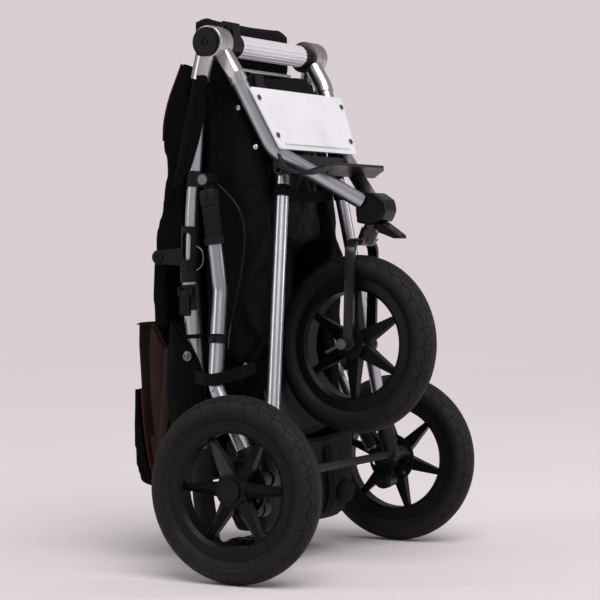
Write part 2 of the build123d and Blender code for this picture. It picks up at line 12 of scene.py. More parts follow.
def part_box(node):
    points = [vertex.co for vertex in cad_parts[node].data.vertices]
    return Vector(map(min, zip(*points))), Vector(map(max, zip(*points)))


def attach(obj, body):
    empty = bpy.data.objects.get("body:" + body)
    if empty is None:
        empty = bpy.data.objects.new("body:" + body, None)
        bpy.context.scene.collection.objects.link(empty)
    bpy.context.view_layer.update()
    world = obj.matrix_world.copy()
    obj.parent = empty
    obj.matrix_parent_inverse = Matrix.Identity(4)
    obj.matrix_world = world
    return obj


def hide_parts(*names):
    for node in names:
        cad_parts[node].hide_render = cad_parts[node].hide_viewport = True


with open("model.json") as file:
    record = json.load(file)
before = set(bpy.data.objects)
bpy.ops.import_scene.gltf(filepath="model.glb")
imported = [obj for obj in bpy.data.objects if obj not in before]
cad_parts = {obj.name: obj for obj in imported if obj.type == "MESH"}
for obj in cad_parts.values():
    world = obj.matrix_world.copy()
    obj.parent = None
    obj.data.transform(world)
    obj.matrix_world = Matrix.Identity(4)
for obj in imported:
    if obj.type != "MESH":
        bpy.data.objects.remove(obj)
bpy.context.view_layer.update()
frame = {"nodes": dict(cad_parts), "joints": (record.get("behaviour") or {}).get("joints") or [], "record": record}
NODES = frame["nodes"]

# ---- places taken from the frame ----
PANEL_LOW, PANEL_HIGH = [Vector(corner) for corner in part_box("seat_panel")]
BODY_OF = {node: body for body, nodes in frame["record"]["behaviour"]["bodies"].items() for node in nodes}

# ---- light and view ----
SKY = (0.690, 0.620, 0.648)     # colour of the background and of the light from it
FILL = 0.50                     # share of the sky's light that falls on the object
SUN = 3.35                      # strength that brings the floor to the sky's brightness
SUN_WIDTH = 48                  # degrees, wide enough for soft shadows
LENS = 130.77                   # focal length on a 36 mm sensor
EYE = (-3.275, -1.689, 0.5427)
EYE_BACK = (-0.88377, -0.46713, 0.02729)
SIDES = (("right", -1), ("left", 1))


# ---- materials ----
class Shader:
    """A material's node tree, with short calls for the few kinds of nodes used here."""

    def __init__(self, name):
        self.material = bpy.data.materials.new(name)
        self.material.use_nodes = True
        self.tree = self.material.node_tree
        self.bsdf = self.tree.nodes["Principled BSDF"]
        self.place = self.tree.nodes.new("ShaderNodeTexCoord").outputs["Object"]
        self.height = None

    def node(self, kind, **settings):
        made = self.tree.nodes.new(kind)
        for key, value in settings.items():
            setattr(made, key, value)
        return made

    def link(self, source, target):
        self.tree.links.new(source, target)

    def math(self, operation, first, second=0.0, third=0.0):
        made = self.node("ShaderNodeMath", operation=operation)
        for socket, value in zip(made.inputs, (first, second, third)):
            if isinstance(value, (int, float)):
                socket.default_value = value
            else:
                self.link(value, socket)
        return made.outputs[0]

    def stretched(self, scale):
        mapping = self.node("ShaderNodeMapping")
        mapping.inputs["Scale"].default_value = scale
        self.link(self.place, mapping.inputs["Vector"])
        return mapping.outputs["Vector"]

    def noise(self, scale, detail=3.0, rough=0.55, stretch=None):
        made = self.node("ShaderNodeTexNoise")
        made.inputs["Scale"].default_value = scale
        made.inputs["Detail"].default_value = detail
        made.inputs["Roughness"].default_value = rough
        self.link(self.stretched(stretch) if stretch else self.place, made.inputs["Vector"])
        return made.outputs["Fac"]

    def remap(self, value, low, high, from_low=0.3, from_high=0.7):
        made = self.node("ShaderNodeMapRange")
        self.link(value, made.inputs["Value"])
        ends = {"From Min": from_low, "From Max": from_high, "To Min": low, "To Max": high}
        for key, number in ends.items():
            made.inputs[key].default_value = number
        return made.outputs["Result"]

    def blend(self, factor, first, second):
        made = self.node("ShaderNodeMix", data_type="RGBA")
        self.link(factor, made.inputs["Factor"])
        for socket, value in ((made.inputs[6], first), (made.inputs[7], second)):
            if isinstance(value, (tuple, list)):
                socket.default_value = (*value, 1)
            else:
                self.link(value, socket)
        return made.outputs[2]

    def colour(self, value):
        if isinstance(value, (tuple, list)):
            self.bsdf.inputs["Base Color"].default_value = (*value, 1)
        else:
            self.link(value, self.bsdf.inputs["Base Color"])

    def set(self, **values):
        for key, value in values.items():
            self.bsdf.inputs[key.replace("_", " ")].default_value = value

    def rough(self, value):
        self.link(value, self.bsdf.inputs["Roughness"])

    def bump(self, height, distance, strength=1.0):
        made = self.node("ShaderNodeBump")
        made.inputs["Distance"].default_value = distance
        made.inputs["Strength"].default_value = strength
        self.link(height, made.inputs["Height"])
        if self.height:
            self.link(self.height, made.inputs["Normal"])
        self.height = made.outputs["Normal"]
        self.link(self.height, self.bsdf.inputs["Normal"])

    def dusted(self, base, dust, amount=0.35):
        """Base colour with a little paler dust, more where the surface is rubbed or raised."""
        wear = self.node("ShaderNodeNewGeometry").outputs["Pointiness"]
        edge = self.remap(wear, 0.0, 1.0, 0.50, 0.56)
        specks = self.remap(self.noise(260, 5), 0.0, 1.0, 0.56, 0.75)
        cloud = self.remap(self.noise(14, 4), 0.0, amount, 0.35, 0.7)
        dirt = self.math("MULTIPLY", specks, cloud)
        mixed = self.math("MAXIMUM", dirt, self.math("MULTIPLY", edge, amount))
        return self.blend(mixed, base, dust)


def brushed_metal(name, colour, low, high, grain=(6, 6, 90), metallic=1.0):
    shader = Shader(name)
    tone = shader.noise(9, 3)
    darker = tuple(0.86 * channel for channel in colour)
    shader.colour(shader.blend(shader.remap(tone, 0, 1), darker, colour))
    lines = shader.noise(60, 4, 0.6, stretch=grain)
    shader.rough(shader.remap(lines, low, high))
    shader.bump(lines, 0.00004, 0.35)
    shader.set(Metallic=metallic)
    return shader.material


def moulded(name, colour, low, high, grain=900, depth=0.00006, coat=0.0, shine=0.2):
    """Moulded plastic or powder-coated metal: a fine grain, rubbed edges and a little dust."""
    shader = Shader(name)
    pale = tuple(min(1, 3 * channel + 0.006) for channel in colour)
    shader.colour(shader.dusted(colour, pale, 0.28))
    shader.rough(shader.remap(shader.noise(22, 4), low, high))
    shader.bump(shader.noise(grain, 3), depth, 0.5)
    shader.set(Coat_Weight=coat, Coat_Roughness=0.2, Specular_IOR_Level=shine)
    return shader.material


def rubbery(name, colour, low=0.62, high=0.82):
    shader = Shader(name)
    shader.colour(shader.dusted(colour, (0.020, 0.019, 0.019), 0.3))
    shader.set(Specular_IOR_Level=0.12)
    shader.rough(shader.remap(shader.noise(40, 5), low, high))
    shader.bump(shader.noise(700, 4), 0.00012, 0.5)
    return shader.material


def tyre_rubber():
    """Tyre rubber with incised zigzags. UV: u counts pitches round the wheel, v is the width, -1 to 1."""
    shader = Shader("tyre_rubber")
    uv = shader.node("ShaderNodeSeparateXYZ")
    shader.link(shader.node("ShaderNodeUVMap", uv_map="tread").outputs["UV"], uv.inputs[0])
    round_the_wheel, over = uv.outputs[0], uv.outputs[1]
    across = shader.math("MULTIPLY", shader.math("ABSOLUTE", over), 1.62)
    wave = shader.math("PINGPONG", round_the_wheel, 0.5)
    half = shader.math("FRACT", shader.math("ADD", round_the_wheel, 0.5))

    def groove(distance, width):
        return shader.remap(shader.math("ABSOLUTE", distance), 1.0, 0.0, width * 0.5, width)

    zigzag = shader.math("SUBTRACT", across, shader.math("MULTIPLY_ADD", wave, 0.34, 0.16))
    outer = shader.math("SUBTRACT", across, shader.math("MULTIPLY_ADD", wave, -0.36, 0.66))
    spur = shader.math("SUBTRACT", half, shader.math("MULTIPLY_ADD", across, 0.42, 0.24))
    lines = shader.math("MAXIMUM", groove(zigzag, 0.034), groove(outer, 0.034))
    on_shoulder = shader.math("MULTIPLY", groove(spur, 0.035), shader.remap(across, 0, 1, 0.30, 0.31))
    lines = shader.math("MAXIMUM", lines, on_shoulder)
    tread = shader.remap(across, 1.0, 0.0, 0.86, 0.92)
    lines = shader.math("MULTIPLY", lines, tread)
    ring = groove(shader.math("SUBTRACT", across, 1.22), 0.014)
    lines = shader.math("MAXIMUM", lines, ring)
    base = shader.dusted((0.0065, 0.0065, 0.007), (0.026, 0.025, 0.024), 0.32)
    shader.set(Specular_IOR_Level=0.2)
    # The tread is painted paler in noisy patches: a painted highlight on the tyre's outer face.
    painted_tread_highlight = shader.math("MULTIPLY", tread, shader.remap(shader.noise(60, 4), 0.35, 0.8))
    base = shader.blend(painted_tread_highlight, base, (0.0125, 0.0120, 0.0118))
    # The zigzag grooves and the ring beside the rim are painted near-black: painted shade in the cuts.
    shader.colour(shader.blend(lines, base, (0.0015, 0.0015, 0.0015)))
    shader.rough(shader.remap(shader.noise(30, 5), 0.55, 0.78))
    shader.bump(shader.noise(520, 4), 0.00018, 0.5)
    shader.bump(shader.math("SUBTRACT", 1.0, lines), 0.0022, 1.0)
    return shader.material


def woven(name, colour, pitch=0.0011, sheen=0.25, rough=0.82, contrast=0.55, depth=0.0003, shine=0.16):
    """Plain-weave cloth: crossing threads by place, slubs, fluff and creases."""
    shader = Shader(name)
    axes = shader.node("ShaderNodeSeparateXYZ")
    warped = shader.node("ShaderNodeVectorMath", operation="ADD")
    drift = shader.node("ShaderNodeTexNoise")
    drift.inputs["Scale"].default_value = 30
    shader.link(shader.place, drift.inputs["Vector"])
    small = shader.node("ShaderNodeVectorMath", operation="SCALE")
    small.inputs["Scale"].default_value = 0.0016
    shader.link(drift.outputs["Color"], small.inputs[0])
    shader.link(shader.place, warped.inputs[0])
    shader.link(small.outputs[0], warped.inputs[1])
    shader.link(warped.outputs[0], axes.inputs[0])
    turn = math.tau / pitch
    flat = shader.math("ADD", axes.outputs[0], axes.outputs[1])
    warp = shader.math("SINE", shader.math("MULTIPLY", flat, turn))
    weft = shader.math("SINE", shader.math("MULTIPLY", axes.outputs[2], turn))
    weave = shader.math("MULTIPLY_ADD", shader.math("MULTIPLY", warp, weft), 0.5, 0.5)
    slub = shader.noise(160, 4, 0.7)
    dark = tuple(channel * (1 - contrast) for channel in colour)
    pale = tuple(min(1, channel * (1 + contrast)) for channel in colour)
    threads = shader.blend(weave, dark, pale)
    lint = shader.remap(shader.noise(900, 2), 0, 0.5, 0.64, 0.8)
    lint_colour = tuple(min(1, 3 * channel + 0.008) for channel in colour)
    mottled = shader.blend(shader.remap(slub, 0, 0.4), threads, colour)
    shader.colour(shader.blend(lint, mottled, lint_colour))
    shader.rough(shader.remap(slub, rough - 0.08, rough + 0.08))
    shader.bump(shader.noise(16, 5, 0.6), 0.0030, 0.5)
    shader.bump(weave, depth, 0.8)
    shader.set(Sheen_Weight=sheen, Sheen_Roughness=0.4, Specular_IOR_Level=shine)
    return shader.material


def felted(name, dark, pale):
    """Napped brown cloth: short fibres and soft blotches."""
    shader = Shader(name)
    fibre = shader.noise(1300, 6, 0.75, stretch=(1, 1, 0.45))
    blotch = shader.remap(shader.noise(18, 5), 0, 1, 0.32, 0.68)
    base = shader.blend(blotch, dark, pale)
    light = tuple(min(1, 1.7 * channel) for channel in pale)
    shader.colour(shader.blend(shader.remap(fibre, 0, 0.75, 0.42, 0.72), base, light))
    shader.rough(shader.remap(fibre, 0.86, 0.97))
    shader.bump(fibre, 0.0006, 0.8)
    shader.bump(shader.noise(26, 4), 0.002, 0.4)
    shader.set(Sheen_Weight=0.06, Sheen_Roughness=0.4, Specular_IOR_Level=0.1)
    return shader.material


def foam(name, colour):
    shader = Shader(name)
    cells = shader.node("ShaderNodeTexVoronoi")
    cells.inputs["Scale"].default_value = 1100
    shader.link(shader.place, cells.inputs["Vector"])
    shader.colour(shader.dusted(colour, (0.03, 0.03, 0.03), 0.25))
    shader.set(Specular_IOR_Level=0.2)
    shader.rough(shader.remap(shader.noise(30, 4), 0.7, 0.9))
    shader.bump(cells.outputs["Distance"], 0.0002, 0.7)
    return shader.material


SILVER = brushed_metal("satin_silver", (0.50, 0.515, 0.55), 0.26, 0.38)
CAST = brushed_metal("cast_silver", (0.58, 0.575, 0.57), 0.24, 0.36, grain=(14, 14, 14))
PLATE = brushed_metal("plate_silver", (0.90, 0.94, 0.97), 0.40, 0.52, grain=(90, 6, 6), metallic=0.15)
GRIP = brushed_metal("grip_silver", (0.90, 0.91, 0.94), 0.30, 0.42, grain=(6, 60, 60), metallic=0.4)
FORK = moulded("fork_black", (0.0050, 0.0050, 0.0058), 0.14, 0.24, coat=0.6)
STEEL = brushed_metal("bright_steel", (0.55, 0.55, 0.57), 0.18, 0.34, grain=(20, 20, 20))
DARK_STEEL = brushed_metal("dark_steel", (0.17, 0.17, 0.18), 0.26, 0.42, grain=(20, 20, 20))
BLACK = moulded("black_moulding", (0.0032, 0.0032, 0.0038), 0.34, 0.52, shine=0.12)
RIM = moulded("rim_black", (0.0030, 0.0030, 0.0033), 0.30, 0.48, grain=500, depth=0.0001, shine=0.13)
GLOSS = moulded("gloss_black", (0.0020, 0.0020, 0.0024), 0.22, 0.34, coat=0.02, shine=0.14)
POWDER = moulded("powder_black", (0.0070, 0.0072, 0.0082), 0.34, 0.46, grain=1500)
RUBBER = rubbery("boot_rubber", (0.0040, 0.0042, 0.0050))
TYRE = tyre_rubber()
CLOTH = woven("black_cloth", (0.0018, 0.0019, 0.0023), 0.0012, sheen=0.004, shine=0.06)
BASKET = woven("basket_weave", (0.0080, 0.0078, 0.0080), 0.0014, sheen=0.03)
SATIN = woven("satin_cloth", (0.0018, 0.0019, 0.0024), 0.0007, sheen=0.01, rough=0.40, contrast=0.25,
              shine=0.10)
PADDED = woven("padded_weave", (0.0032, 0.0032, 0.0037), 0.0022, sheen=0.012, depth=0.0006, shine=0.10)
WEBBING = woven("webbing", (0.0030, 0.0030, 0.0033), 0.0016, sheen=0.01, depth=0.0005, shine=0.10)
MESH_CLOTH = woven("grey_mesh", (0.0210, 0.0200, 0.0198), 0.0018, sheen=0.04, depth=0.0006)
FELT = felted("brown_felt", (0.0130, 0.0070, 0.0056), (0.0270, 0.0160, 0.0130))
# A darker copy of the brown felt: painted shade inside the pouch, also used for the rim cord.
FELT_DARK = felted("brown_felt_dark", (0.0018, 0.0007, 0.0005), (0.0036, 0.0015, 0.0012))
PIPING = woven("red_piping", (0.060, 0.005, 0.008), 0.0009, sheen=0.02)
THREAD = woven("sewing_thread", (0.020, 0.020, 0.021), 0.0006, sheen=0.05)
GREY_PLASTIC = moulded("grey_plastic", (0.10, 0.10, 0.105), 0.35, 0.5)
FOAM = foam("foam_grip", (0.0070, 0.0070, 0.0078))

NODE_LOOKS = {
    SILVER: ("rear_leg", "handle_tube", "handle_sleeve", "front_tube", "lower_link", "handlebar_arms"),
    CAST: ("handle_hub", "front_hub"),
    GRIP: ("fold_grip",),
    FORK: ("fork",),
    PLATE: ("badge_plate",),
    STEEL: ("axle_stubs", "crossbar_core"),
    DARK_STEEL: ("pivot_bolts", "plate_screws", "front_axle"),
    BLACK: ("leg_knuckles", "leg_bands", "pivot_clamps", "lock_collars", "clip_mounts", "side_plates",
            "crossbar_collars", "brake_mount"),
    RIM: ("front_rim", "rear_rim"),
    GLOSS: ("hub_caps", "fold_latch", "steering_housing", "swivel_lever", "clip_lever", "brake_cable"),
    POWDER: ("mudguard", "axle_carrier", "suspensions", "link_shaft", "link_ends", "link_brackets",
             "brake_lever"),
    RUBBER: ("leg_boots",),
    FOAM: ("handlebar_grip",),
    CLOTH: ("seat_pack", "seat_panel", "canopy", "storage_pouch", "basket", "front_tyre", "rear_tyre"),
}


def dress_nodes():
    """Gives each CAD node its material; the longest matching name wins."""
    for name, node in NODES.items():
        fitting = [(len(start), look) for look, starts in NODE_LOOKS.items() for start in starts
                   if name.startswith(start)]
        look = max(fitting, key=lambda pair: pair[0])[1]
        node.data.materials.clear()
        node.data.materials.append(look)


# ---- mesh helpers ----
def new_object(name, vertices, faces, material, smooth=True):
    mesh = bpy.data.meshes.new(name)
    mesh.from_pydata([tuple(v) for v in vertices], [], faces)
    mesh.validate()
    mesh.materials.append(material)
    made = bpy.data.objects.new(name, mesh)
    bpy.context.scene.collection.objects.link(made)
    if smooth:
        mesh.shade_smooth()
    return made


def grid_faces(rows, columns, close_rows=False, close_columns=False):
    """Quads of a grid of points numbered row by row."""
    faces = []
    for i in range(rows if close_rows else rows - 1):
        for j in range(columns if close_columns else columns - 1):
            a, b = i * columns + j, i * columns + (j + 1) % columns
            c, d = ((i + 1) % rows) * columns + (j + 1) % columns, ((i + 1) % rows) * columns + j
            faces.append((a, b, c, d))
    return faces


def modifier(obj, kind, **settings):
    made = obj.modifiers.new(kind.lower(), kind)
    for key, value in settings.items():
        setattr(made, key, value)
    return made


def subdivide(obj, levels=1):
    modifier(obj, "SUBSURF", levels=levels, render_levels=levels)


def apply_all(obj):
    """Makes what the modifiers show the object's own mesh."""
    graph = bpy.context.evaluated_depsgraph_get()
    mesh = bpy.data.meshes.new_from_object(obj.evaluated_get(graph))
    obj.modifiers.clear()
    obj.data = mesh
    mesh.shade_smooth()


def in_metres(points):
    return [Vector(point) / 1000 for point in points]


def beside(x, line):
    """A (y, z) line in millimetres, laid in the plane at x metres."""
    return [(x, y / 1000, z / 1000) for y, z in line]


def smooth_path(points, steps=10):
    """A Catmull-Rom line through the points."""
    points = [Vector(p) for p in points]
    ends = [points[0] * 2 - points[1], *points, points[-1] * 2 - points[-2]]
    line = []
    for a, b, c, d in zip(ends, ends[1:], ends[2:], ends[3:]):
        for k in range(steps):
            t = k / steps
            line.append(0.5 * (2 * b + (c - a) * t + (2 * a - 5 * b + 4 * c - d) * t * t
                               + (3 * b - a - 3 * c + d) * t ** 3))
    line.append(points[-1])
    return line


def ribbon(name, points, facings, width, thick, material, steps=10):
    """A strap along the points. Each facing is the direction its flat side looks at."""
    line = smooth_path(points, steps)
    looks = smooth_path(facings, steps)
    vertices = []
    for k, (place, look) in enumerate(zip(line, looks)):
        ahead = (line[min(k + 1, len(line) - 1)] - line[max(k - 1, 0)]).normalized()
        out = (look - ahead * look.dot(ahead)).normalized()
        sideways = ahead.cross(out)
        for across, up in ((-1, -1), (-1, 1), (1, 1), (1, -1)):
            vertices.append(place + sideways * across * width / 2 + out * up * thick / 2)
    faces = grid_faces(len(line), 4, close_columns=True)
    last = 4 * (len(line) - 1)
    faces += [(3, 2, 1, 0), (last, last + 1, last + 2, last + 3)]
    made = new_object(name, vertices, faces, material, smooth=False)
    modifier(made, "BEVEL", width=thick * 0.35, segments=2, limit_method="ANGLE")
    return made


def loop_strap(name, centre, axis, radius, width, thick, material, segments=48):
    """A closed round band about an axis."""
    axis = Vector(axis).normalized()
    first = Vector((0, 1, 0)) - axis * axis.y
    first.normalize()
    second = axis.cross(first)
    vertices = []
    for k in range(segments):
        t = math.tau * k / segments
        out = first * math.cos(t) + second * math.sin(t)
        base = Vector(centre) + out * radius
        for across, up in ((-1, 0), (-1, 1), (1, 1), (1, 0)):
            vertices.append(base + axis * across * width / 2 + out * up * thick)
    made = new_object(name, vertices, grid_faces(segments, 4, True, True), material, smooth=False)
    modifier(made, "BEVEL", width=thick * 0.3, segments=2, limit_method="ANGLE")
    return made


def tube_along(name, points, radius, material, closed=False):
    """A round cord or bead of piping through the points."""
    curve = bpy.data.curves.new(name, "CURVE")
    curve.dimensions = "3D"
    curve.bevel_depth = radius
    curve.bevel_resolution = 3
    curve.resolution_u = 8
    spline = curve.splines.new("NURBS")
    spline.points.add(len(points) - 1)
    for target, point in zip(spline.points, points):
        target.co = (*point, 1)
    spline.order_u = 3
    spline.use_endpoint_u = not closed
    spline.use_cyclic_u = closed
    curve.use_fill_caps = True
    curve.materials.append(material)
    made = bpy.data.objects.new(name, curve)
    bpy.context.scene.collection.objects.link(made)
    return made


def turned(name, profile, centre, axis, material, segments):
    """A surface of revolution, open at both ends: profile is (along the axis, radius) pairs."""
    axis = Vector(axis).normalized()
    first = axis.orthogonal().normalized()
    second = axis.cross(first)
    vertices = []
    for k in range(segments):
        t = math.tau * k / segments
        out = first * math.cos(t) + second * math.sin(t)
        vertices += [Vector(centre) + axis * a + out * r for a, r in profile]
    return new_object(name, vertices, grid_faces(segments, len(profile), close_rows=True), material)


def lathe(name, profile, centre, axis, material, segments=48, smooth_angle=35):
    """A turned piece, closed at its ends."""
    made = turned(name, profile, centre, axis, material, segments)
    mesh = made.data
    for end in (0, len(profile) - 1):
        if profile[end][1] > 1e-6:
            ring = [k * len(profile) + end for k in range(segments)]
            work = bmesh.new()
            work.from_mesh(mesh)
            work.verts.ensure_lookup_table()
            work.faces.new([work.verts[i] for i in ring])
            bmesh.ops.recalc_face_normals(work, faces=work.faces)
            work.to_mesh(mesh)
            work.free()
    mesh.shade_smooth()
    modifier(made, "EDGE_SPLIT", split_angle=math.radians(smooth_angle))
    return made


# ---- camera, floor and light ----
def aimed(name, data, place, back):
    """An object for a camera or light at a place, turned so that it looks away from `back`."""
    made = bpy.data.objects.new(name, data)
    made.location = place
    made.rotation_mode = "QUATERNION"
    made.rotation_quaternion = Vector(back).to_track_quat("Z", "Y")
    bpy.context.scene.collection.objects.link(made)
    return made


def camera():
    data = bpy.data.cameras.new("camera")
    data.sensor_width = 36
    data.lens = LENS
    data.clip_end = 50
    bpy.context.scene.camera = aimed("camera", data, EYE, EYE_BACK)


def backdrop():
    """A pale floor, flat for metres all round, under an even sky that it meets without a line."""
    shader = Shader("backdrop")
    patches = shader.remap(shader.noise(1.5, 2), 0, 1)
    shader.colour(shader.blend(patches, (0.715, 0.715, 0.715), (0.73, 0.73, 0.73)))
    shader.set(Roughness=0.95, Specular_IOR_Level=0.0)
    size = 60
    corners = [(-size, -size, 0), (size, -size, 0), (size, size, 0), (-size, size, 0)]
    new_object("studio_floor", corners, [(0, 1, 2, 3)], shader.material, smooth=False)
    world = bpy.data.worlds.new("studio")
    world.use_nodes = True
    tree = world.node_tree
    tree.nodes["Background"].inputs["Color"].default_value = (*SKY, 1)
    seen = tree.nodes.new("ShaderNodeMapRange")
    tree.links.new(tree.nodes.new("ShaderNodeLightPath").outputs["Is Camera Ray"], seen.inputs["Value"])
    seen.inputs["To Min"].default_value = FILL
    tree.links.new(seen.outputs["Result"], tree.nodes["Background"].inputs["Strength"])
    bpy.context.scene.world = world
    bpy.context.scene.view_settings.view_transform = "Standard"


def area_light(name, place, target, size, power):
    data = bpy.data.lights.new(name, "AREA")
    data.shape = "RECTANGLE"
    data.size, data.size_y = size
    data.energy = power
    aimed(name, data, place, Vector(place) - Vector(target))


def lights():
    """A broad soft sun, which lights the floor evenly out to the horizon, and two soft boxes for gloss."""
    data = bpy.data.lights.new("soft_sun", "SUN")
    data.energy = SUN
    data.angle = math.radians(SUN_WIDTH)
    data.color = SKY
    aimed("soft_sun", data, (0, 0, 0), (-0.42, -0.39, 0.82))
    area_light("right_box", (1.6, -2.6, 1.5), (0, -0.1, 0.45), (0.8, 1.8), 22)
    area_light("left_box", (-2.2, 1.9, 1.6), (0, 0, 0.55), (0.5, 1.8), 14)


# ---- tyres ----
def tyre(name, node, centre, axis, pitches=32):
    """A tyre with an incised tread: profile from bead to bead, with a ridge beside the rim."""
    side = [(0.0150, 0.1095), (0.0172, 0.1122), (0.0188, 0.1128), (0.0192, 0.1146), (0.0214, 0.1168),
            (0.0247, 0.1215), (0.0262, 0.1270), (0.0259, 0.1322), (0.0240, 0.1372), (0.0212, 0.1412),
            (0.0172, 0.1450), (0.0120, 0.1478), (0.0060, 0.1495)]
    profile = side + [(0.0, 0.1500)] + [(-x, r) for x, r in reversed(side)]
    segments = 192
    made = turned(name, profile, centre, axis, TYRE, segments)
    layer = made.data.uv_layers.new(name="tread")
    lengths = [0.0]
    for (x0, r0), (x1, r1) in zip(profile, profile[1:]):
        lengths.append(lengths[-1] + math.hypot(x1 - x0, r1 - r0))
    for polygon in made.data.polygons:
        rows = [made.data.loops[i].vertex_index // len(profile) for i in polygon.loop_indices]
        wraps = max(rows) - min(rows) > 1
        for i, row in zip(polygon.loop_indices, rows):
            column = made.data.loops[i].vertex_index % len(profile)
            turn = (row + segments if wraps and row == 0 else row) / segments
            layer.data[i].uv = (turn * pitches, 2 * lengths[column] / lengths[-1] - 1)
    subdivide(made)
    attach(made, BODY_OF[node])
    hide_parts(node)


def joint(name):
    return next(entry for entry in frame["joints"] if entry["name"] == name)


def tyres():
    for name, _ in SIDES:
        spin = joint(f"rear_spin_{name}")
        tyre(f"tyre_{name}", f"rear_tyre_{name}", spin["pos_m"], spin["axis"])
    spin = joint("front_spin")
    tyre("tyre_front", "front_tyre", spin["pos_m"], spin["axis"])


# ---- soft goods: how a padded piece is made ----
def prism(name, outline, x_from, x_to, material, voxel=0.006, rounds=5):
    """A closed block of a (y, z) outline in millimetres, remeshed and rounded, ready to be filled out."""
    count = len(outline)
    vertices = [(x, y / 1000, z / 1000) for x in (x_from, x_to) for y, z in outline]
    faces = [tuple(range(count)), tuple(range(2 * count - 1, count - 1, -1))]
    faces += [(k, k + count, (k + 1) % count + count, (k + 1) % count) for k in range(count)]
    made = new_object(name, vertices, faces, material)
    work = bmesh.new()
    work.from_mesh(made.data)
    bmesh.ops.recalc_face_normals(work, faces=work.faces)
    work.to_mesh(made.data)
    work.free()
    modifier(made, "REMESH", mode="VOXEL", voxel_size=voxel)
    modifier(made, "SMOOTH", factor=0.5, iterations=rounds)
    apply_all(made)
    return made


def points_of(mesh):
    flat = np.empty(3 * len(mesh.vertices))
    mesh.vertices.foreach_get("co", flat)
    return flat.reshape(-1, 3)


def normals_of(mesh):
    flat = np.empty(3 * len(mesh.vertices))
    mesh.vertex_normals.foreach_get("vector", flat)
    return flat.reshape(-1, 3)


def set_points(mesh, points):
    mesh.vertices.foreach_set("co", points.astype(float).ravel())
    mesh.update()


def swell(obj, cap, pressure=4.0):
    """Fills a piece out as cloth under a little pressure. No point moves further than cap."""
    start = points_of(obj.data)
    cloth = modifier(obj, "CLOTH")
    cloth.settings.use_pressure = True
    cloth.settings.uniform_pressure_force = pressure
    cloth.settings.effector_weights.gravity = 0
    cloth.settings.quality = 5
    for number in range(1, 21):
        bpy.context.scene.frame_set(number)
    mesh = bpy.data.meshes.new_from_object(obj.evaluated_get(bpy.context.evaluated_depsgraph_get()))
    moved = points_of(mesh) - start
    bpy.data.meshes.remove(mesh)
    obj.modifiers.clear()
    length = np.linalg.norm(moved, axis=1)
    moved *= np.minimum(1, cap / np.maximum(length, 1e-9))[:, None]
    set_points(obj.data, start + moved)
    bpy.context.scene.frame_set(1)


def crease(obj, height, scale, seed, sharp=False):
    """Folds a piece along its normals by seeded noise. A small scale along an axis makes long folds."""
    points, normals = points_of(obj.data), normals_of(obj.data)
    fold = np.empty(len(points))
    for k, point in enumerate(points * np.array(scale) + seed):
        value = noise.noise(Vector(point)) + 0.4 * noise.noise(Vector(point) * 2.3)
        fold[k] = 0.5 - abs(value) * 2.2 if sharp else value
    set_points(obj.data, points + normals * (fold * height)[:, None])


def near_line(points, line):
    """How far each (y, z) point is from a line of (y, z) points."""
    best = np.full(len(points), 1e9)
    for (ay, az), (by, bz) in zip(line, line[1:]):
        a, run = np.array((ay, az)), np.array((by - ay, bz - az))
        t = np.clip(((points - a) @ run) / (run @ run), 0, 1)
        best = np.minimum(best, np.linalg.norm(points - (a + t[:, None] * run), axis=1))
    return best


def furrow(obj, line, width, depth):
    """Presses a seam along a (y, z) line on a piece's two sides, or raises a fold where depth is negative."""
    line = [(y / 1000, z / 1000) for y, z in line]
    points, normals = points_of(obj.data), normals_of(obj.data)
    far = near_line(points[:, 1:], line)
    push = depth * np.exp(-(far / width) ** 2) * np.abs(normals[:, 0])
    set_points(obj.data, points - normals * push[:, None])


def placed(obj, body="handle_frame"):
    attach(obj, body)


def pad(obj, body="handle_frame"):
    """Subdivides a filled piece once and sets it on its body."""
    subdivide(obj)
    placed(obj, body)


def stitches(name, line, pitch=0.0042, length=0.0026, radius=0.00042):
    """A row of short threads along a line of points, each lying along it."""
    line = smooth_path(line, 40)
    vertices, faces = [], []
    walked, due = 0.0, 0.0
    for a, b in zip(line, line[1:]):
        step = (b - a).length
        while step > 1e-9 and walked + step >= due:
            middle = a + (b - a) * ((due - walked) / step)
            along = (b - a).normalized()
            side = along.orthogonal().normalized()
            up = along.cross(side)
            base = len(vertices)
            for end in (-0.5, 0.0, 0.5):
                thick = radius if end == 0 else radius * 0.45
                for turn in range(6):
                    t = math.tau * turn / 6
                    out = side * math.cos(t) + up * math.sin(t)
                    vertices.append(middle + along * end * length + out * thick)
            faces += [tuple(base + k for k in face) for face in grid_faces(3, 6, close_columns=True)]
            faces.append(tuple(base + k for k in range(5, -1, -1)))
            faces.append(tuple(base + 12 + k for k in range(6)))
            due += pitch
        walked += step
    placed(new_object(name, vertices, faces, THREAD))


def draped(name, rows, material):
    """A sheet with no thickness yet, smoothed through rows of points in millimetres."""
    vertices = in_metres(point for row in rows for point in row)
    made = new_object(name, vertices, grid_faces(len(rows), len(rows[0])), material)
    subdivide(made, 2)
    apply_all(made)
    return made


def thicken(obj, thick):
    modifier(obj, "SOLIDIFY", thickness=thick, offset=0)


def laid_on(obj, points, lift):
    """The points brought onto the nearest cloth of a piece and lifted off it."""
    cloth = BVHTree.FromPolygons([v.co for v in obj.data.vertices], [p.vertices for p in obj.data.polygons])
    nearest = [cloth.find_nearest(Vector(point))[0] for point in points]
    return [place + (Vector(point) - place).normalized() * lift for point, place in zip(points, nearest)]


def as_sheet(obj, thick):
    """Gives a sheet its thickness."""
    points = points_of(obj.data)
    thicken(obj, thick)


